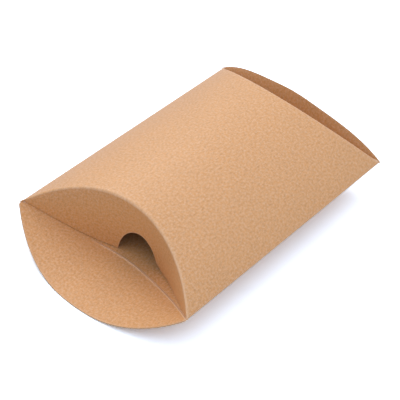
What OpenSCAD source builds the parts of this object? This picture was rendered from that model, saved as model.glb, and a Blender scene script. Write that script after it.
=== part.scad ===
/* [Sleeve] */
// Width across the two side creases
width = 80; // [70:1:100]
// Length between the corner points of the two ends
length = 114; // [90:1:160]
// How far the top panel rises above the side creases
top_rise = 16.8; // [14:0.2:19]
// How far the bottom panel drops below the side creases
bottom_drop = 13; // [11:0.2:16]
// Width of the flat strip that the bottom panel rests on
rest_strip = 12; // [8:1:24]
// Thickness of the board
board = 0.5; // [0.35:0.05:0.6]
// Length lost from each sharp corner point, where the die blunts it
corner_blunt = 0.3; // [0.2:0.1:1]

/* [Flaps] */
// How far each curved crease reaches in from the corner points
crease_depth = 15; // [12:0.5:17]
// How far each free edge reaches past the corner points when its flap lies flat
flap_reach = 14; // [12:0.5:15]
// Width of the thumb notch in each upper flap
notch_w = 16.8; // [12:0.2:20]
// How far the round end of a thumb notch reaches in from the free edge
notch_depth = 13; // [8:0.5:14]
// How far the front thumb notch sits to the right of the middle
notch_shift = 1.2; // [0:0.2:4]
// Angle that the front upper flap is folded down, before it is pushed in
front_fold_angle = 85; // [82:1:90]
// How much further it is folded where it is pushed in furthest
front_push = 16; // [0:1:18]
// How far that place sits to the right of the middle
push_shift = 10; // [0:1:12]
// Distance across the box over which the push falls to half
push_spread = 22; // [14:1:30]
// Angle that the back lower flap stands up from lying flat
back_lower_angle = 72; // [60:1:78]
// Length cut off each pointed tip of a flap
tip_trim = 2; // [1.5:0.5:5]
// Open width of a crease that turns
crease_gap = 0.15; // [0.1:0.05:0.3]

/* [Glue tab] */
// Width of the glue tab inside the left side crease
tab_w = 12; // [8:1:15]
// Distance from a corner point to the tab's end, along the side crease
tab_inset = 6; // [6:1:12]
// How much shorter the tab's inner edge is at each end
tab_slant = 9; // [8:1:14]

/* [Hidden] */
$fn = 180;
half = width / 2;
corner_x = length / 2;
side_z = bottom_drop;
height = bottom_drop + top_rise;
flap_len = crease_depth + flap_reach;
past = 1.3;
steps = 48;

function arc_r(chord_half, rise) = (chord_half * chord_half + rise * rise) / (2 * rise);
function arc_rise(y, rise) =
    sqrt(pow(arc_r(half, rise), 2) - y * y) - arc_r(half, rise) + rise;

// Height of the bottom panel's outer face: flat in the middle, an arc on each side
side_arc_r = arc_r(half - rest_strip / 2, bottom_drop);
function bottom_z(y) =
    let (e = max(0, abs(y) - rest_strip / 2)) side_arc_r - sqrt(side_arc_r * side_arc_r - e * e);

// Points of the back end's creases at y across the box. The front end is their mirror image
function upper_crease(y) =
    let (rise = arc_rise(y, top_rise)) [corner_x - crease_depth * rise / top_rise, y, side_z + rise];
function lower_crease(y) = [corner_x - arc_rise(y, crease_depth), y, bottom_z(y)];

// Fold of the front upper flap at y across the box
function front_turn(y) = front_fold_angle + front_push / (1 + pow((y + push_shift) / push_spread, 2));

// From a crease to the free edge. The front upper flap just clears the bottom panel it rests on
function upper_reach(y) = upper_crease(y)[2] - bottom_z(y) - board - 2 * crease_gap;
function lower_reach(y) = (corner_x - lower_crease(y)[0]) * flap_len / crease_depth;

// Turns a section drawn across the box into a bar of the given length along it
module along_box(bar) {
    rotate([90, 0, 90]) linear_extrude(height = bar, center = true) children();
}

// Turns an outline drawn from the side, in x and z, into a slab across the whole box
module across_box() {
    rotate([90, 0, 0]) linear_extrude(height = past * width, center = true) children();
}

// Inside of the top panel's arc, set in from its outer face
module top_disc(inset) {
    translate([0, height - arc_r(half, top_rise)]) circle(r = arc_r(half, top_rise) - inset);
}

// Inside of the bottom panel's curve, set in from its outer face
module bottom_trough(inset) {
    for (side = [-1, 1]) {
        translate([side * rest_strip / 2, side_arc_r]) circle(r = side_arc_r - inset);
    }
    translate([-rest_strip / 2, inset]) square([rest_strip, side_arc_r]);
}

// The space between the two panels, clear of their inner faces
module inside_section() {
    intersection() {
        top_disc(board + crease_gap);
        bottom_trough(board + crease_gap);
    }
}

module top_section() {
    intersection() {
        difference() {
            top_disc(0);
            top_disc(board);
        }
        translate([-half, side_z]) square([width, top_rise]);
    }
}

module bottom_section() {
    intersection() {
        difference() {
            bottom_trough(0);
            bottom_trough(board);
        }
        translate([-half, 0]) square([width, bottom_drop]);
    }
}

// Side view of what the two upper creases leave of the top panel
module top_outline() {
    polygon([
        [-corner_x, side_z],
        [corner_x, side_z],
        [corner_x - past * crease_depth, side_z + past * top_rise],
        [-corner_x + past * crease_depth, side_z + past * top_rise]
    ]);
}

// Upright disc through both corner points of the back end. Its edge is an arc that bows
// towards the box by the given depth, or away from it if side is -1
module corner_disc(depth, side, grow) {
    r = arc_r(half, depth);
    translate([corner_x - side * (depth - r), 0, -1]) cylinder(r = r + grow, h = height);
}

// Leaves out the pointed tips of a flap
module between_tips() {
    intersection() {
        children();
        translate([-length, -half + tip_trim, -height])
            cube([2 * length, width - 2 * tip_trim, 3 * height]);
    }
}

// Upright oval cutter. It reaches in along x from the middle of a flap's free edge
module thumb_notch(cut) {
    scale([notch_depth, notch_w / 2, 1]) cylinder(r = 1, h = cut, center = true);
}

// The back upper flap, laid out in line with the top panel, with some board before its crease
module upper_flap_flat() {
    intersection() {
        along_box(past * length + 4 * flap_reach) top_section();
        across_box() polygon([
            [corner_x - board, side_z],
            [corner_x - board - past * crease_depth, side_z + past * top_rise],
            [corner_x + past * flap_reach, side_z + past * top_rise],
            [corner_x, side_z]
        ]);
    }
}

// The back upper flap, pushed home: its mirror image in the plane of its crease, set in by the board,
// and ending halfway through the top panel
module upper_flap_home() {
    intersection() {
        along_box(length) top_disc(board / 2);
        translate([corner_x - board - crease_gap, 0, side_z]) mirror([top_rise, 0, crease_depth])
            translate([-corner_x, 0, -side_z]) difference() {
                between_tips() upper_flap_flat();
                translate([corner_x + flap_reach, 0, side_z]) thumb_notch(2 * height);
            }
    }
}

module glue_tab() {
    intersection() {
        along_box(length) intersection() {
            difference() {
                top_disc(board / 2);
                top_disc(2 * board);
            }
            bottom_trough(board / 2);
        }
        linear_extrude(height = height) polygon([
            [-corner_x + tab_inset, half],
            [corner_x - tab_inset, half],
            [corner_x - tab_inset - tab_slant, half - tab_w],
            [-corner_x + tab_inset + tab_slant, half - tab_w]
        ]);
    }
}

// Points across the board of a folded flap, from the crease to the free edge and back on its inner face.
// turn is the fold from lying flat, and up is 1 for a lower flap and -1 for an upper one
function flap_ring(crease, reach, turn, up) =
    let (
        along = [cos(turn), 0, up * sin(turn)],
        inward = board * [-sin(turn), 0, up * cos(turn)],
        free_edge = crease + along * reach
    )
    [crease, free_edge, free_edge + inward, crease + inward];

// Solid through rings of four points each, one ring for each step across the box
module board_strip(rings) {
    last = 4 * (len(rings) - 1);
    sides = [
        for (first = [0:4:last - 4]) for (k = [0:3]) let (next = (k + 1) % 4) each [
            [first + k, first + next, first + k + 4],
            [first + next, first + next + 4, first + k + 4]
        ]
    ];
    ends = [[3, 2, 1], [3, 1, 0], [last, last + 1, last + 2], [last, last + 2, last + 3]];
    polyhedron(points = [for (ring = rings) each ring], faces = concat(sides, ends));
}

rows = [for (i = [0:steps]) (half - tip_trim) * (2 * i / steps - 1)];

// Top and bottom panels joined at both side creases, with the glue tab and the back upper flap
module box_sleeve() {
    color("#cda583") union() {
        intersection() {
            along_box(length - 2 * corner_blunt) top_section();
            across_box() top_outline();
        }
        difference() {
            along_box(length - 2 * corner_blunt) bottom_section();
            for (turn = [0, 180]) rotate([0, 0, turn]) corner_disc(crease_depth, 1, 0);
        }
        glue_tab();
        upper_flap_home();
    }
}

// Lies open, in line with the bottom panel
module front_lower_flap() {
    color("#c39a74") mirror([1, 0, 0]) between_tips() intersection() {
        along_box(length + 4 * flap_reach) bottom_section();
        corner_disc(crease_depth, 1, -crease_gap);
        corner_disc(flap_reach, -1, 0);
    }
}

// Folded in behind the front end, with a thumb notch in its free edge
module front_upper_flap() {
    notch_turn = front_turn(-notch_shift);
    notch_at = flap_ring(upper_crease(-notch_shift), upper_reach(-notch_shift), notch_turn, -1)[1];
    color("#b98f63") mirror([1, 0, 0]) difference() {
        intersection() {
            board_strip([for (y = rows) flap_ring(upper_crease(y), upper_reach(y), front_turn(y), -1)]);
            along_box(length) inside_section();
        }
        translate(notch_at) rotate([0, notch_turn, 0]) thumb_notch(flap_reach);
    }
}

// Stands up from its curved crease, not pushed home
module back_lower_flap() {
    color("#a8794d") intersection() {
        board_strip([for (y = rows) flap_ring(lower_crease(y), lower_reach(y), back_lower_angle, 1)]);
        along_box(length) inside_section();
    }
}

box_sleeve();
front_lower_flap();
front_upper_flap();
back_lower_flap();
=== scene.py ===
"""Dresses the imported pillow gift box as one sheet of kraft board, folded at its scored creases."""

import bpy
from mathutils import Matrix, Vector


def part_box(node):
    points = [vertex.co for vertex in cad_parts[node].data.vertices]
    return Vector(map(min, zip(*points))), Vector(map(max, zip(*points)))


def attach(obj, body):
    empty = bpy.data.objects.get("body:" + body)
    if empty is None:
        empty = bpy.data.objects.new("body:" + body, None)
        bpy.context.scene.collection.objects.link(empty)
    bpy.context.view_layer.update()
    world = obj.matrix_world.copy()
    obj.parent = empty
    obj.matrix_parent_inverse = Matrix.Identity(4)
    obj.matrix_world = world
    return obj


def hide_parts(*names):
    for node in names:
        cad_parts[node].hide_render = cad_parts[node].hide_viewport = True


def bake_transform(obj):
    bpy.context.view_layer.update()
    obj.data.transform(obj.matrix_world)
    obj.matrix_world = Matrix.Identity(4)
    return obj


bl_info = {
    "name": "Pillow Gift Box",
    "version": (1, 0, 0),
    "blender": (4, 5, 0),
    "location": "View3D > Sidebar > Gift Box",
    "description": "Kraft board sleeve with its end flaps, on a plain white stage",
    "category": "Add Mesh",
}

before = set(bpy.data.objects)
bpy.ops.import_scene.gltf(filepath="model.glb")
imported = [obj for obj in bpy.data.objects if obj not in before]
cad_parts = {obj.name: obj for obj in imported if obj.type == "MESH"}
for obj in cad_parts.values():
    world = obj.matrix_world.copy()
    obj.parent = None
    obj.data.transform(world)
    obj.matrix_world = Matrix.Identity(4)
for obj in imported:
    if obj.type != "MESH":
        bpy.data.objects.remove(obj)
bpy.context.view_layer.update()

from math import atan, cos, hypot, pi, radians, sin

import bpy
import numpy as np
from bpy.props import FloatProperty, FloatVectorProperty, PointerProperty
from mathutils import Matrix, Vector

SLEEVE_LOW, SLEEVE_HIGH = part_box("box_sleeve")
FLAT_MAP = "flat_sheet"
# Per-point paleness: painted highlight along the folds and on the open crease's bead, and scuffing along cut edges
HIGHLIGHT_AND_WEAR_ATTRIBUTE = "fold_wear"
MM = 0.001
# Half width of the bead along the open crease, and of the pale band along a fold, which is a painted highlight on the
# fold's ridge
RIDGE_W = 0.3 * MM
SLEEVE_HIGHLIGHT_W = 0.8 * MM
FLAP_HIGHLIGHT_W = 0.9 * MM
# Strength of the painted highlight along the back end's fold, even across the box and stronger than at the front end.
# The lower creases get a painted highlight in between
BACK_FOLD_HIGHLIGHT = 1.5
LOWER_FOLD_HIGHLIGHT = 0.6
# How pale the open crease's bead is painted, as a highlight on its ridge, and how scuffed the notch's cut edge and the
# open flap's free edge are
BEAD_HIGHLIGHT = 0.7
NOTCH_WEAR = 0.7
FREE_EDGE_WEAR = 0.25
# From here on to the left, over this width, the open crease's bead fades out under the upper flap
BARE_FROM = 10 * MM
BARE_SPAN = 8 * MM
# Width of the rounded corner where the open flap's left tip meets the top panel
TIP_SPAN = 1.2 * MM
# How much of the free edge the front notch's rounded right corner takes away
EASE_DEPTH = 3 * MM


def linear(hex_colour):
    """An sRGB hex colour such as "#d9ae84" as linear red, green and blue."""
    channels = [int(hex_colour[k : k + 2], 16) / 255 for k in (1, 3, 5)]
    return tuple(c / 12.92 if c <= 0.04045 else ((c + 0.055) / 1.055) ** 2.4 for c in channels)


class BoxSizes(bpy.types.PropertyGroup):
    width: FloatProperty(name="Width", description="Across the two side creases",
                         default=SLEEVE_HIGH.y - SLEEVE_LOW.y, unit="LENGTH")
    length: FloatProperty(name="Length", description="Between the corner points of the two ends",
                          default=114 * MM, unit="LENGTH")
    top_rise: FloatProperty(name="Top rise", description="Rise of the top panel above the side creases",
                            default=SLEEVE_HIGH.z - 13 * MM, unit="LENGTH")
    bottom_drop: FloatProperty(name="Bottom drop", description="Drop of the bottom panel below the side creases",
                               default=13 * MM, unit="LENGTH")
    rest_strip: FloatProperty(name="Rest strip", description="Width of the flat strip under the bottom panel",
                              default=12 * MM, unit="LENGTH")
    board: FloatProperty(name="Board", description="Thickness of the board", default=0.5 * MM, unit="LENGTH")
    crease_depth: FloatProperty(name="Crease depth", description="Reach of each curved crease in from the corners",
                                default=15 * MM, unit="LENGTH")
    flap_reach: FloatProperty(name="Flap reach", description="Reach of a flat flap past the corner points",
                              default=14 * MM, unit="LENGTH")
    notch_w: FloatProperty(name="Notch width", description="Width of the thumb notch in an upper flap",
                           default=16.8 * MM, unit="LENGTH")
    notch_depth: FloatProperty(name="Notch depth", description="How far a thumb notch reaches in from the free edge",
                               default=13 * MM, unit="LENGTH")
    notch_shift: FloatProperty(name="Notch shift", description="How far the front notch sits right of the middle",
                               default=1.2 * MM, unit="LENGTH")
    notch_skew: FloatProperty(name="Notch skew", description="How far its deepest point is off its middle",
                              default=1.0 * MM, unit="LENGTH")
    notch_ease: FloatProperty(name="Notch ease", description="Width of the front notch's rounded right corner",
                              default=3.5 * MM, unit="LENGTH")
    front_fold_angle: FloatProperty(name="Front fold", description="Fold of the front upper flap before its push",
                                    default=radians(84.5), subtype="ANGLE")
    front_push: FloatProperty(name="Front push", description="How much further it is folded at its push",
                              default=radians(16.3), subtype="ANGLE")
    push_shift: FloatProperty(name="Push shift", description="How far the push sits right of the middle",
                              default=10 * MM, unit="LENGTH")
    push_spread: FloatProperty(name="Push spread", description="Distance over which the push falls to half",
                               default=22 * MM, unit="LENGTH")
    rest_gap: FloatProperty(name="Rest gap", description="Between an upper flap's free edge and the bottom panel",
                            default=0.4 * MM, unit="LENGTH")
    tip_full: FloatProperty(name="Tip fullness", description="How much longer the back lower flap is towards its tips",
                            default=0.15)
    tip_past: FloatProperty(name="Tip past corner", description="How far the open flap's left tip passes the corner",
                            default=1.3 * MM, unit="LENGTH")
    back_lower_angle: FloatProperty(name="Back lower fold", description="How far the back lower flap stands up",
                                    default=radians(72), subtype="ANGLE")
    tip_trim: FloatProperty(name="Tip trim", description="Length cut off each pointed tip of a flap",
                            default=0.2 * MM, unit="LENGTH")
    fold_r: FloatProperty(name="Fold radius", description="Outer radius of a fold in the board",
                          default=1.0 * MM, unit="LENGTH")
    bead: FloatProperty(name="Crease bead", description="Height of the bead that the scoring rule raised inside",
                        default=0.22 * MM, unit="LENGTH")
    # How much paler a fold is painted: a highlight along the fold's ridge
    fold_wear: FloatProperty(name="Fold wear", description="How much paler a rubbed fold is", default=0.6)
    buckle: FloatProperty(name="Buckle", description="How far the folded board bulges in and out of true",
                          default=0.12 * MM, unit="LENGTH")
    tab_w: FloatProperty(name="Glue tab", description="Width of the glue tab inside the left crease",
                         default=12 * MM, unit="LENGTH")
    tab_inset: FloatProperty(name="Tab inset", description="From a corner point to the tab's end",
                             default=6 * MM, unit="LENGTH")
    tab_slant: FloatProperty(name="Tab slant", description="How much shorter the tab's inner edge is at each end",
                             default=9 * MM, unit="LENGTH")


class BoardFinish(bpy.types.PropertyGroup):
    outside: FloatVectorProperty(name="Outside", description="Machine-finished face of the kraft board",
                                 default=linear("#d99a56"), subtype="COLOR", size=3, min=0, max=1)
    inside: FloatVectorProperty(name="Inside", description="Plain inner face of the kraft board",
                                default=linear("#d79854"), subtype="COLOR", size=3, min=0, max=1)
    # The cut edge is darkened and greyed, partly its own tone and partly painted shade, as the rims face down into
    # shadow
    edge: FloatVectorProperty(name="Cut edge", description="Fluffed fibres of a cut edge",
                              default=linear("#b9946c"), subtype="COLOR", size=3, min=0, max=1)
    fibre: FloatVectorProperty(name="Dark fibre", description="Darker fibres and flecks in the pulp",
                               default=linear("#a87646"), subtype="COLOR", size=3, min=0, max=1)
    # Pale colour of stretched fibres in the grain, also used for the painted highlight along the folds and the bead
    pale_and_highlight: FloatVectorProperty(name="Worn fold", description="Stretched pale fibres along a fold",
                              default=linear("#ecc6a2"), subtype="COLOR", size=3, min=0, max=1)
    fleck: FloatVectorProperty(name="Fleck", description="Specks of bark left in the pulp",
                               default=linear("#5e3d22"), subtype="COLOR", size=3, min=0, max=1)


class StageLook(bpy.types.PropertyGroup):
    key_power: FloatProperty(name="Key light", description="Power of the large soft lamp in watts", default=4.5)
    fill: FloatProperty(name="Fill", description="Light from straight above", default=1.5)


def sizes():
    return bpy.context.scene.gift_box_sizes


def arc_r(chord_half, rise):
    return (chord_half * chord_half + rise * rise) / (2 * rise)


def arc_rise(y, half, rise):
    """Height of an arc of the given rise over its chord, at y across the box."""
    r = arc_r(half, rise)
    return np.sqrt(np.maximum(r * r - y * y, 0)) - r + rise


def bottom_z(y, s):
    """Height of the bottom panel's outer face: flat in the middle, an arc on each side."""
    r = arc_r(s.width / 2 - s.rest_strip / 2, s.bottom_drop)
    e = np.maximum(0, np.abs(y) - s.rest_strip / 2)
    return r - np.sqrt(r * r - e * e)


def upper_crease(y, s):
    """(distance from the middle of the box, height) of an upper crease at y across the box."""
    rise = arc_rise(y, s.width / 2, s.top_rise)
    return s.length / 2 - s.crease_depth * rise / s.top_rise, s.bottom_drop + rise


def lower_crease(y, s):
    return s.length / 2 - arc_rise(y, s.width / 2, s.crease_depth), bottom_z(y, s)


def front_turn(y, s):
    """Fold of the front upper flap at y across the box. It is pushed in furthest beside its notch."""
    return s.front_fold_angle + s.front_push / (1 + ((y + s.push_shift) / s.push_spread) ** 2)


def touching_circle(c1, r1, c2, r2, r, side):
    """Centre of the circle of radius r that touches two larger circles from inside, on the given side in y."""
    (y1, z1), (y2, z2) = c1, c2
    a, b = r1 - r, r2 - r
    d = hypot(y2 - y1, z2 - z1)
    along = (a * a - b * b + d * d) / (2 * d)
    off = (a * a - along * along) ** 0.5
    uy, uz = (y2 - y1) / d, (z2 - z1) / d
    found = [(y1 + along * uy + k * off * uz, z1 + along * uz - k * off * uy) for k in (-1, 1)]
    return max(found, key=lambda p: side * p[0])


def arc_points(centre, r, first, last, count):
    """Points on a circle in y and z, from one angle to another, measured from +Y towards +Z."""
    turn = np.linspace(first, last, count)
    return np.stack([centre[0] + r * np.cos(turn), centre[1] + r * np.sin(turn)], 1)


def angle_of(point, centre):
    return float(np.arctan2(point[1] - centre[1], point[0] - centre[0]))


def sleeve_path(s):
    """The sheet's outer face seen along the box, from the top panel's glued edge at the left crease, over the top,
    round the right crease, under the bottom, round the left crease and up inside as the glue tab.
    Returns the points in y and z and a row of labels."""
    half, strip = s.width / 2, s.rest_strip / 2
    top_r = arc_r(half, s.top_rise)
    top_c = (0.0, s.bottom_drop + s.top_rise - top_r)
    low_r = arc_r(half - strip, s.bottom_drop)
    low_c = {side: (side * strip, low_r) for side in (-1, 1)}
    tab_r = top_r - s.board - 0.04 * MM
    fold = 0.75 * MM
    right = touching_circle(top_c, top_r, low_c[-1], low_r, fold, -1)
    left = touching_circle(top_c, tab_r, low_c[1], low_r, fold, 1)
    corner = angle_of((half, s.bottom_drop + 0.3 * MM), top_c)
    right_top, right_low = angle_of(right, top_c), angle_of(right, low_c[-1])
    left_low, left_tab = angle_of(left, low_c[1]), angle_of(left, top_c)
    tab_end = left_tab + s.tab_w / tab_r
    runs = [
        ("top", arc_points(top_c, top_r, corner, right_top, 118)),
        ("fold", arc_points(right, fold, right_top, 2 * pi + right_low, 9)[1:-1]),
        ("bottom", arc_points(low_c[-1], low_r, right_low, -pi / 2, 46)),
        ("bottom", np.stack([np.linspace(-strip, strip, 16), np.zeros(16)], 1)[1:-1]),
        ("bottom", arc_points(low_c[1], low_r, -pi / 2, left_low, 46)),
        ("fold", arc_points(left, fold, left_low, left_tab, 9)[1:-1]),
        ("tab", arc_points(top_c, tab_r, left_tab, tab_end, 16)),
    ]
    return np.concatenate([p for _, p in runs]), np.concatenate([[label] * len(p) for label, p in runs])


def tangents(points, axis):
    """Unit tangents along one axis of a grid of points. The nearer neighbour weighs more."""
    p = np.moveaxis(points, axis, 0)
    step = np.diff(p, axis=0)
    size = np.linalg.norm(step, axis=-1, keepdims=True)
    unit = step / np.maximum(size, 1e-12)
    inner = unit[:-1] * size[1:] + unit[1:] * size[:-1]
    t = np.concatenate([unit[:1], inner, unit[-1:]])
    return np.moveaxis(t / np.maximum(np.linalg.norm(t, axis=-1, keepdims=True), 1e-12), 0, axis)


class BoardMesh:
    """Collects sheets of board and makes one mesh of them."""

    def __init__(self):
        self.points, self.flat, self.wear, self.faces, self.kinds = [], [], [], [], []
        self.count = 0

    def lay(self, outer, flat, wear, thickness, outward):
        """Adds a sheet: a grid of points of its outer face, where each lies on the flat sheet and how much painted
        highlight or scuffing it shows.
        outward is 1 where rows times columns point out of the outer face, and -1 where they point in."""
        rows, cols = outer.shape[:2]
        normal = np.cross(tangents(outer, 0), tangents(outer, 1)) * outward
        normal /= np.maximum(np.linalg.norm(normal, axis=2, keepdims=True), 1e-12)
        inner = outer - thickness * normal
        grid = np.arange(rows * cols).reshape(rows, cols) + self.count
        self.points += [outer.reshape(-1, 3), inner.reshape(-1, 3)]
        self.flat += [flat.reshape(-1, 2)] * 2
        self.wear += [wear.ravel()] * 2
        self.count += 2 * rows * cols
        quads = np.stack([grid[:-1, :-1], grid[1:, :-1], grid[1:, 1:], grid[:-1, 1:]], 2).reshape(-1, 4)
        if outward < 0:
            quads = quads[:, ::-1]
        ring = np.concatenate([grid[:-1, 0], grid[-1, :-1], grid[:0:-1, -1], grid[0, :0:-1]])
        below = ring + rows * cols
        rim = np.stack([ring, below, np.roll(below, -1), np.roll(ring, -1)], 1)
        if outward > 0:
            rim = rim[:, ::-1]
        for kind, found in ((0, quads), (1, quads[:, ::-1] + rows * cols), (2, rim)):
            self.faces.append(found)
            self.kinds += [kind] * len(found)

    def make(self, name):
        mesh = bpy.data.meshes.new(name)
        faces = np.concatenate(self.faces)
        mesh.from_pydata(np.concatenate(self.points), [], faces)
        mesh.polygons.foreach_set("material_index", self.kinds)
        flat = np.concatenate(self.flat)[faces.ravel()]
        mesh.uv_layers.new(name=FLAT_MAP).uv.foreach_set("vector", flat.astype(np.float32).ravel())
        pale_and_highlight = mesh.attributes.new(HIGHLIGHT_AND_WEAR_ATTRIBUTE, "FLOAT", "POINT")
        pale_and_highlight.data.foreach_set("value", np.concatenate(self.wear).astype(np.float32))
        mesh.shade_smooth()
        mesh.set_sharp_from_angle(angle=radians(50))
        mesh.update()
        thing = bpy.data.objects.new(name, mesh)
        bpy.context.scene.collection.objects.link(thing)
        for material in board_materials():
            mesh.materials.append(material)
        return thing


def fold_tangent(turn, reach, s):
    """How far from a sharp crease its rounded fold starts. It shrinks with the flap towards the tips."""
    return np.minimum(s.fold_r * np.tan(turn / 2), 0.25 * reach)


def lower_reach(y, s):
    """From a lower crease to the free edge of its flap."""
    return (s.length / 2 - lower_crease(y, s)[0]) * (s.crease_depth + s.flap_reach) / s.crease_depth


def upper_reach(y, s):
    """From an upper crease to the free edge of its flap, which rests on the bottom panel."""
    return np.maximum(upper_crease(y, s)[1] - bottom_z(y, s) - s.board - s.rest_gap, 0.05 * MM)


def fold_highlight_share(y, s):
    """How much of its painted fold highlight a crease shows at y across the box: more to the right, where the
    highlight on the fold's ridge is brightest.
    """
    return 0.15 + 0.85 * np.clip(0.5 - y / s.width, 0, 1)


def bare(y):
    """How much of the open crease's bead shows at y across the box. The upper flap rests in its left part."""
    return np.clip(1 - (y - BARE_FROM) / BARE_SPAN, 0, 1)


def near(distance, width):
    return np.exp(-((distance / width) ** 2))


def end_columns(x, y, z, reach, turn, back, down, s, count=9):
    """Outer face of the sheet where it rounds each row's crease at one end of the box.
    x is the crease's distance from the middle, and down is 1 where the flap folds down and -1 where it folds up."""
    t = np.where(turn > 0, fold_tangent(turn, reach, s), np.minimum(s.fold_r, 0.25 * reach))
    t = np.maximum(t, 0.02 * MM)
    k = np.linspace(0, 1, count)[None, :]
    bend = turn[:, None] * k
    r = np.where(turn > 0, t / np.tan(np.maximum(turn, 1e-3) / 2), 0)[:, None]
    run = np.where(turn[:, None] > 0, r * np.sin(bend), t[:, None] * k)
    drop = np.where(turn[:, None] > 0, r * (1 - np.cos(bend)), 0)
    along = x[:, None] - t[:, None] + run
    return np.stack([back * along, np.broadcast_to(y[:, None], along.shape), z[:, None] - down[:, None] * drop], 2)


def flap_grid(y, x, z, turn, free, back, up, columns, start):
    """Outer face of a flap: a row for each y, from start past the sharp crease to the free edge."""
    k = np.linspace(0, 1, columns)[None, :] ** 1.15
    run = start[:, None] + (free - start)[:, None] * k
    px = x[:, None] + run * np.cos(turn)[:, None]
    pz = z[:, None] + up * run * np.sin(turn)[:, None]
    return np.stack([back * px, np.broadcast_to(y[:, None], px.shape), pz], 2), run


def across(s, middle=None):
    """Rows across a flap, from left to right. Where it has a thumb notch, its round edge gets rows of its own."""
    reach = s.width / 2 - s.tip_trim
    rows = np.linspace(-reach, reach, 101)
    if middle is None:
        return rows[::-1]
    inside = np.abs(rows - middle) < s.notch_w / 2 + 0.3 * MM
    edge = middle + s.notch_w / 2 * np.sin(np.linspace(-pi / 2, pi / 2, 61))
    return np.sort(np.concatenate([rows[~inside], edge]))[::-1]


def with_notch(y, free, middle, deepest, skew, ease, s):
    """Free edge of an upper flap once its thumb notch is cut. deepest is the edge's reach at the notch's middle,
    skew is how far the oval's deepest point is moved to the right, and ease is the width over which its right
    corner is rounded, or 0 for a sharp one."""
    share = (y - middle) / (s.notch_w / 2)
    around = atan(2 * skew / s.notch_w) + np.arcsin(np.clip(share, -1, 1))
    oval = deepest - s.notch_depth * np.maximum(np.cos(around), 0)
    past = (share + 1) * s.notch_w / 2
    eased = free - EASE_DEPTH * np.clip(1 + past / max(ease, 1e-6), 0, 1) ** 2
    beside = np.where((share <= -1) & (ease > 0), eased, free)
    return np.where(np.abs(share) < 1, np.minimum(free, oval), beside)


def path_lengths(path):
    return np.concatenate([[0], np.cumsum(np.linalg.norm(np.diff(path, axis=0), axis=1))])


def flat_column(y, panel, s):
    """Where a row of a flap lies across the flat sheet, so that the board's pattern runs on over the crease."""
    path, label = sleeve_path(s)
    along = path_lengths(path)
    rows = label == panel
    order = np.argsort(path[rows, 0])
    return np.interp(y, path[rows, 0][order], along[rows][order])


def buckle(points, outward, size):
    """Moves the sheet's points a little in and out, as board does that was folded by hand."""
    x, y, z = points[..., 0] / MM, points[..., 1] / MM, points[..., 2] / MM
    wave = np.sin(x / 17 + 0.8 * np.sin(y / 13)) * np.sin(y / 11 + 0.6) + 0.5 * np.sin(x / 9 - y / 7 + z / 15)
    return points + outward * (size * wave)[..., None]


def board_materials():
    """The board's three finishes in the order of a sheet's face kinds: outer face, inner face and cut edge."""
    names = ("kraft_board_outside", "kraft_board_inside", "kraft_board_cut_edge")
    made = [bpy.data.materials.get(name) for name in names]
    if None in made:
        look = bpy.context.scene.gift_box_finish
        bases, gloss = (look.outside, look.inside, look.edge), (0.4, 0.6, 0.9)
        made = [kraft_board(*found, look) for found in zip(names, bases, gloss)]
    return made


def add_node(tree, kind, links=None, **settings):
    """Adds a node. links gives its inputs, each as a number, a colour or another node's output socket."""
    node = tree.nodes.new(kind)
    for name, value in settings.items():
        setattr(node, name, value)
    for name, value in (links or {}).items():
        if isinstance(value, bpy.types.NodeSocket):
            tree.links.new(value, node.inputs[name])
        else:
            node.inputs[name].default_value = value
    return node


def toned(rgb, gain=1.0):
    return (rgb[0] * gain, rgb[1] * gain, rgb[2] * gain, 1)


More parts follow.
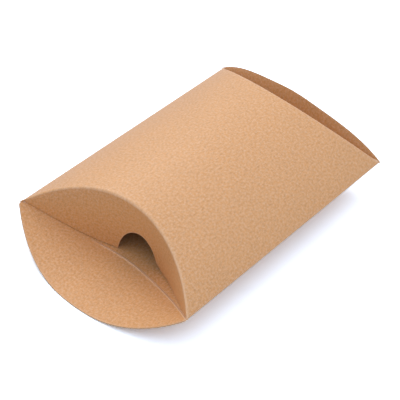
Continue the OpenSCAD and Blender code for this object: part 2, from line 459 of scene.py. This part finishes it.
def kraft_board(name, base, roughness, look):
    """Unbleached kraft board, calendered but uncoated: matt, with a fine speckle of darker and paler fibres,
    cloudy where the pulp settled unevenly, and paler along the folds and the bead, where a highlight is painted, and
    along scuffed cut edges."""
    material = bpy.data.materials.new(name)
    material.use_nodes = True
    tree = material.node_tree
    tree.nodes.clear()
    flat = add_node(tree, "ShaderNodeUVMap", uv_map=FLAT_MAP).outputs["UV"]
    in_mm = add_node(tree, "ShaderNodeMapping", {"Vector": flat, "Scale": (1 / MM, 1 / MM, 1)}).outputs["Vector"]
    # Pulp clouds are 10 to 20 mm across
    cloud = add_node(tree, "ShaderNodeTexNoise", {"Vector": in_mm, "Scale": 1 / 14, "Detail": 2.0}).outputs["Fac"]
    # Fibres are 0.03 mm wide and 1 to 3 mm long, drawn 0.45 mm wide so that they show
    strands = []
    for turn in (8, 67, -49):
        laid = add_node(tree, "ShaderNodeMapping",
                        {"Vector": in_mm, "Rotation": (0, 0, radians(turn)), "Scale": (1 / 0.45, 1 / 1.9, 1)})
        strands.append(add_node(tree, "ShaderNodeTexNoise",
                                {"Vector": laid.outputs["Vector"], "Scale": 1.0, "Detail": 2.0}).outputs["Fac"])
    crossed = add_node(tree, "ShaderNodeMath", {0: strands[0], 1: strands[1]}, operation="ADD").outputs["Value"]
    crossed = add_node(tree, "ShaderNodeMath", {0: crossed, 1: strands[2]}, operation="ADD").outputs["Value"]
    grain = add_node(tree, "ShaderNodeTexNoise",
                     {"Vector": in_mm, "Scale": 1 / 0.9, "Detail": 3.0, "Roughness": 0.75}).outputs["Fac"]
    # Flecks of bark in the pulp, 0.3 mm across and about 7 mm apart
    cell = add_node(tree, "ShaderNodeTexVoronoi", {"Vector": in_mm, "Scale": 1 / 7}).outputs["Distance"]
    fleck = add_node(tree, "ShaderNodeMapRange", {"Value": cell, "From Min": 0.03, "From Max": 0.015,
                                                  "To Min": 0.0, "To Max": 0.6}).outputs["Result"]
    dark = add_node(tree, "ShaderNodeMapRange", {"Value": crossed, "From Min": 1.35, "From Max": 1.9,
                                                 "To Min": 0.0, "To Max": 0.45}).outputs["Result"]
    pale = add_node(tree, "ShaderNodeMapRange", {"Value": grain, "From Min": 0.4, "From Max": 0.68,
                                                 "To Min": 0.0, "To Max": 0.6}).outputs["Result"]
    pale_and_highlight = add_node(tree, "ShaderNodeAttribute", attribute_name=HIGHLIGHT_AND_WEAR_ATTRIBUTE).outputs["Fac"]
    shade = add_node(tree, "ShaderNodeMix", {0: cloud, 6: toned(base, 0.94), 7: toned(base, 1.06)},
                     data_type="RGBA").outputs[2]
    # Dark fibres, pale grain and flecks are the board's own; the last mix is the painted highlight along the folds and
    # the bead, with scuffing at cut edges
    for amount, rgb in ((dark, look.fibre), (pale, look.pale_and_highlight), (fleck, look.fleck), (pale_and_highlight, look.pale_and_highlight)):
        shade = add_node(tree, "ShaderNodeMix", {0: amount, 6: shade, 7: toned(rgb)}, data_type="RGBA").outputs[2]
    felt = add_node(tree, "ShaderNodeMath", {0: crossed, 1: grain}, operation="ADD").outputs["Value"]
    bump = add_node(tree, "ShaderNodeBump", {"Height": felt, "Strength": 0.15, "Distance": 0.05 * MM})
    # Cellulose has an IOR of about 1.5. The calendered face needs more for the pale veil it shows at a low angle
    shader = add_node(tree, "ShaderNodeBsdfPrincipled", {
        "Base Color": shade,
        "Roughness": roughness,
        "IOR": 1.75,
        "Normal": bump.outputs["Normal"],
    })
    add_node(tree, "ShaderNodeOutputMaterial", {"Surface": shader.outputs["BSDF"]})
    return material


def sleeve_sheet(sheet, s):
    """Top panel, bottom panel and glue tab as one sheet, wrapped round the box and glued inside the left crease."""
    path, label = sleeve_path(s)
    y, z = path[:, 0], path[:, 1]
    top, bottom, fold, tab = (label == name for name in ("top", "bottom", "fold", "tab"))
    end = np.where(z >= s.bottom_drop, upper_crease(y, s)[0], lower_crease(y, s)[0])
    end = np.minimum(end, s.length / 2 - 0.3 * MM)
    left_tip = s.tip_past * np.clip(1 - (s.width / 2 - y) / TIP_SPAN, 0, 1) * ~tab
    inset = s.tab_inset + s.tab_slant * np.linspace(0, 1, tab.sum()) ** 0.9
    end[tab] = s.length / 2 - inset
    front = np.where(top, front_turn(y, s), 0)
    mirror_fold = 2 * atan(s.top_rise / s.crease_depth)
    back = np.where(top, mirror_fold, np.where(bottom, s.back_lower_angle, 0))
    down = np.where(top, 1, -1)
    reach = np.where(top, upper_reach(y, s), lower_reach(y, s))
    first = end_columns(end + left_tip, y, z, reach, front, -1, down, s)[:, ::-1]
    last = end_columns(end, y, z, reach, back, 1, down, s)
    share = np.linspace(0, 1, 80)[1:-1][None, :, None]
    outer = np.concatenate([first, first[:, -1:] * (1 - share) + last[:, :1] * share, last], 1)
    gap = np.abs(end[:, None] - np.abs(outer[..., 0]))
    outward = np.cross(tangents(outer, 0), tangents(outer, 1))
    open_end = (outer[..., 0] < 0) & bottom[:, None]
    ridge = bare(y)[:, None] * near(gap, RIDGE_W) * open_end
    outer = outer - outward * (s.bead * ridge)[..., None]
    inland = np.clip(gap / (10 * MM), 0, 1) * np.clip((s.width / 2 - np.abs(outer[..., 1])) / (12 * MM), 0, 1)
    outer = buckle(outer, outward, s.buckle * inland)
    along = path_lengths(path)
    flat = np.stack([np.broadcast_to(along[:, None], outer.shape[:2]), outer[..., 0]], 2)
    # Painted highlight along the folds, strongest along the back end's fold and to the right of the front upper
    # crease, and on the open crease's bead
    fold_highlight_scale = np.where(outer[..., 0] > 0, BACK_FOLD_HIGHLIGHT, np.where(top, fold_highlight_share(y, s), LOWER_FOLD_HIGHLIGHT)[:, None])
    wear = s.fold_wear * fold_highlight_scale * near(gap, SLEEVE_HIGHLIGHT_W) * ~(tab[:, None] | open_end)
    wear = wear + BEAD_HIGHLIGHT * ridge + s.fold_wear * 0.5 * fold[:, None]
    sheet.lay(outer, flat, wear, s.board, 1)


def flap_sheet(sheet, s, y, turn, back, up, notch=None, skew=0.0, ease=0.0):
    """One folded end flap, from its rounded crease to its free edge. turn is its fold from lying flat, and up is
    1 for a lower flap and -1 for an upper one. notch is the middle of its thumb notch across the box."""
    crease, reach = (lower_crease, lower_reach) if up > 0 else (upper_crease, upper_reach)
    x, z = crease(y, s)
    turn = np.broadcast_to(np.asarray(turn, float), y.shape)
    free = reach(y, s)
    if up > 0:
        free = free * (1 + s.tip_full * (y / (s.width / 2)) ** 2)
    start = fold_tangent(turn, free, s)
    cut = 0.0
    if notch is not None:
        uncut = free
        free = with_notch(y, free, notch, reach(notch, s), skew, ease, s)
        cut = np.clip((uncut - free) / (2 * MM), 0, 1)[:, None]
    outer, run = flap_grid(y, x, z, turn, free, back, up, 34, start)
    outward = -back * up
    normal = np.cross(tangents(outer, 0), tangents(outer, 1)) * outward
    left = free[:, None] - run
    inland = np.clip(run / (5 * MM), 0, 1) * np.clip(left / (4 * MM), 0, 1)
    outer = buckle(outer, normal, s.buckle * inland)
    panel = "top" if up < 0 else "bottom"
    u = np.broadcast_to(flat_column(y, panel, s)[:, None], run.shape)
    flat = np.stack([u, back * (x[:, None] + run)], 2)
    # Painted highlight along the flap's fold, and scuffing along the notch's cut edge
    wear = s.fold_wear * fold_highlight_share(y, s)[:, None] * near(run, FLAP_HIGHLIGHT_W)
    wear = wear + NOTCH_WEAR * cut * near(left, 0.35 * MM)
    sheet.lay(outer, flat, wear, s.board, outward)


def open_flap_sheet(sheet, s, y):
    """The front lower flap, in line with the bottom panel. Its free edge is an arc through both corner points,
    fuller towards its left tip."""
    x, z = lower_crease(y, s)
    free = s.length / 2 + arc_rise(y, s.width / 2, s.flap_reach) - x
    free = free + s.tip_past * ((1 + y / (s.width / 2)) / 2) ** 4
    run = free[:, None] * np.linspace(0, 1, 46)[None, :] ** 1.15
    outer = np.stack([-(x[:, None] + run), np.broadcast_to(y[:, None], run.shape),
                      np.broadcast_to(z[:, None], run.shape)], 2)
    normal = np.cross(tangents(outer, 0), tangents(outer, 1))
    ridge = bare(y)[:, None] * near(run, RIDGE_W)
    outer = outer - normal * (s.bead * ridge)[..., None]
    left = free[:, None] - run
    inland = np.clip(run / (5 * MM), 0, 1) * np.clip((s.width / 2 - np.abs(outer[..., 1])) / (12 * MM), 0, 1)
    outer = buckle(outer, normal, s.buckle * inland)
    flat = np.stack([np.broadcast_to(flat_column(y, "bottom", s)[:, None], run.shape), outer[..., 0]], 2)
    # Painted highlight on the open crease's bead, and scuffing along the free edge
    wear = BEAD_HIGHLIGHT * ridge + FREE_EDGE_WEAR * near(left, 0.4 * MM)
    sheet.lay(outer, flat, wear, s.board, 1)


def bend_at_crease(flap):
    """Bakes the flap's placement into its mesh."""
    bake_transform(flap)


class GIFTBOX_OT_sleeve(bpy.types.Operator):
    """Folds the sleeve, with its glue tab and its back upper flap pushed home"""

    bl_idname = "giftbox.sleeve"
    bl_label = "Sleeve"

    def execute(self, context):
        s = sizes()
        sheet = BoardMesh()
        sleeve_sheet(sheet, s)
        mirror_fold = 2 * atan(s.top_rise / s.crease_depth)
        flap_sheet(sheet, s, across(s, 0.0), mirror_fold, 1, -1, notch=0.0)
        sleeve = sheet.make("sleeve_board")
        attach(sleeve, "sleeve")
        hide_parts("box_sleeve")
        return {"FINISHED"}


class GIFTBOX_OT_front_lower_flap(bpy.types.Operator):
    """Lays the front lower flap open, in line with the bottom panel"""

    bl_idname = "giftbox.front_lower_flap"
    bl_label = "Front lower flap"

    def execute(self, context):
        s = sizes()
        y = across(s)
        sheet = BoardMesh()
        open_flap_sheet(sheet, s, y)
        flap = sheet.make("front_lower_flap_board")
        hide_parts("front_lower_flap")
        bend_at_crease(flap)
        return {"FINISHED"}


class GIFTBOX_OT_folded_flaps(bpy.types.Operator):
    """Folds the front upper flap in behind the front end, and stands the back lower flap up"""

    bl_idname = "giftbox.folded_flaps"
    bl_label = "Folded flaps"

    def execute(self, context):
        s = sizes()
        notch = -s.notch_shift
        y = across(s, notch)
        sheet = BoardMesh()
        flap_sheet(sheet, s, y, front_turn(y, s), -1, -1, notch, s.notch_skew, s.notch_ease)
        upper = sheet.make("front_upper_flap_board")
        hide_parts("front_upper_flap")
        bend_at_crease(upper)

        sheet = BoardMesh()
        flap_sheet(sheet, s, across(s), s.back_lower_angle, 1, 1)
        lower = sheet.make("back_lower_flap_board")
        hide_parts("back_lower_flap")
        bend_at_crease(lower)
        return {"FINISHED"}


class GIFTBOX_OT_stage(bpy.types.Operator):
    """Sets the white floor, the soft lamps, the white surroundings and the camera"""

    bl_idname = "giftbox.stage"
    bl_label = "Stage"

    def execute(self, context):
        scene = context.scene
        look = scene.gift_box_stage
        white_floor()
        white_world(scene, look)
        aim_lamp("key_lamp", look.key_power, 0.9, (0.25, 0.85, 1.0), linear("#fffaf4"))
        photo_camera(scene)
        scene.view_settings.view_transform = "Standard"
        return {"FINISHED"}


def white_floor():
    """A smooth white board under the box. The camera sees it overexposed, so that it is white wherever no
    shadow falls."""
    mesh = bpy.data.meshes.new("floor")
    side, low = 2.0, -0.1 * MM
    corners = [(-side, -side, low), (side, -side, low), (side, side, low), (-side, side, low)]
    mesh.from_pydata(corners, [], [(0, 1, 2, 3)])
    floor = bpy.data.objects.new("floor", mesh)
    bpy.context.scene.collection.objects.link(floor)
    material = bpy.data.materials.new("white_laminate")
    material.use_nodes = True
    tree = material.node_tree
    tree.nodes.clear()
    lit = add_node(tree, "ShaderNodeBsdfDiffuse", {"Color": (0.7, 0.7, 0.7, 1)}).outputs["BSDF"]
    bright = add_node(tree, "ShaderNodeBsdfDiffuse", {"Color": (1.57, 1.74, 1.9, 1)}).outputs["BSDF"]
    seen = add_node(tree, "ShaderNodeLightPath").outputs["Is Camera Ray"]
    shown = add_node(tree, "ShaderNodeMixShader", {0: seen, 1: lit, 2: bright}).outputs["Shader"]
    add_node(tree, "ShaderNodeOutputMaterial", {"Surface": shown})
    mesh.materials.append(material)


def white_world(scene, look):
    """White wherever it is seen or mirrored. As a light it is slightly cool, and falls off towards the horizon."""
    world = bpy.data.worlds.new("white_studio")
    world.use_nodes = True
    tree = world.node_tree
    tree.nodes.clear()
    path = add_node(tree, "ShaderNodeLightPath").outputs
    mirrored = add_node(tree, "ShaderNodeMath", {0: path["Is Glossy Ray"], 1: path["Is Transmission Ray"]},
                        operation="MAXIMUM").outputs["Value"]
    seen = add_node(tree, "ShaderNodeMath", {0: path["Is Camera Ray"], 1: mirrored},
                    operation="MAXIMUM").outputs["Value"]
    way = add_node(tree, "ShaderNodeTexCoord").outputs["Generated"]
    rise = add_node(tree, "ShaderNodeSeparateXYZ", {0: way}).outputs["Z"]
    steep = add_node(tree, "ShaderNodeMath", {0: rise, 1: rise}, operation="MULTIPLY").outputs["Value"]
    dome = add_node(tree, "ShaderNodeMapRange", {"Value": steep, "From Min": 0.0, "From Max": 1.0,
                                                 "To Min": 0.25 * look.fill, "To Max": look.fill}).outputs["Result"]
    light = add_node(tree, "ShaderNodeBackground", {"Color": toned(linear("#f3f6ff")), "Strength": dome})
    white = add_node(tree, "ShaderNodeBackground", {"Color": (1, 1, 1, 1), "Strength": 1.0})
    mixed = add_node(tree, "ShaderNodeMixShader",
                     {0: seen, 1: light.outputs["Background"], 2: white.outputs["Background"]}).outputs["Shader"]
    add_node(tree, "ShaderNodeOutputWorld", {"Surface": mixed})
    scene.world = world


def aim_lamp(name, power, side, place, rgb):
    """A square soft lamp, turned towards the middle of the box."""
    data = bpy.data.lights.new(name, "AREA")
    data.shape = "SQUARE"
    data.size = side
    data.energy = power
    data.color = rgb
    lamp = bpy.data.objects.new(name, data)
    bpy.context.scene.collection.objects.link(lamp)
    lamp.location = place
    lamp.rotation_euler = (Vector((0, 0, 0.015)) - lamp.location).to_track_quat("-Z", "Y").to_euler()


def photo_camera(scene):
    """The photograph's view: a long lens from above the front left corner, leaning by 6.6 degrees."""
    azimuth, elevation, lean = radians(40.72), radians(39.69), radians(6.64)
    distance, aside, above = 478.26 * MM, 2.64 * MM, 7.08 * MM
    ahead = Vector((cos(elevation) * cos(azimuth), cos(elevation) * sin(azimuth), -sin(elevation)))
    right = ahead.cross(Vector((0, 0, 1))).normalized()
    up = right.cross(ahead)
    level = Matrix.Rotation(-lean, 3, "X")
    eye = level @ (-distance * ahead - aside * right - above * up) + Vector((0, 0, sizes().bottom_drop))
    data = bpy.data.cameras.new("photo_camera")
    data.sensor_width = 36
    data.lens = 36 * 1276.65 / 400
    data.clip_start, data.clip_end = 0.01, 20
    camera = bpy.data.objects.new("photo_camera", data)
    scene.collection.objects.link(camera)
    turned = Matrix([level @ right, level @ up, -(level @ ahead)]).transposed()
    camera.matrix_world = Matrix.Translation(eye) @ turned.to_4x4()
    scene.camera = camera


class GIFTBOX_PT_panel(bpy.types.Panel):
    """Lists the gift box's pieces and their sizes"""

    bl_idname = "GIFTBOX_PT_panel"
    bl_label = "Pillow Gift Box"
    bl_space_type = "VIEW_3D"
    bl_region_type = "UI"
    bl_category = "Gift Box"

    def draw(self, context):
        for operator in OPERATORS:
            self.layout.operator(operator.bl_idname)
        for group in (context.scene.gift_box_sizes, context.scene.gift_box_finish, context.scene.gift_box_stage):
            column = self.layout.column(align=True)
            for name in group.__annotations__:
                column.prop(group, name)


OPERATORS = (GIFTBOX_OT_sleeve, GIFTBOX_OT_front_lower_flap, GIFTBOX_OT_folded_flaps, GIFTBOX_OT_stage)
CLASSES = (BoxSizes, BoardFinish, StageLook, *OPERATORS, GIFTBOX_PT_panel)


def register():
    for found in CLASSES:
        bpy.utils.register_class(found)
    bpy.types.Scene.gift_box_sizes = PointerProperty(type=BoxSizes)
    bpy.types.Scene.gift_box_finish = PointerProperty(type=BoardFinish)
    bpy.types.Scene.gift_box_stage = PointerProperty(type=StageLook)


def unregister():
    del bpy.types.Scene.gift_box_stage
    del bpy.types.Scene.gift_box_finish
    del bpy.types.Scene.gift_box_sizes
    for found in reversed(CLASSES):
        bpy.utils.unregister_class(found)


def main():
    register()
    bpy.ops.giftbox.sleeve()
    bpy.ops.giftbox.front_lower_flap()
    bpy.ops.giftbox.folded_flaps()
    bpy.ops.giftbox.stage()


if __name__ == "__main__":
    main()
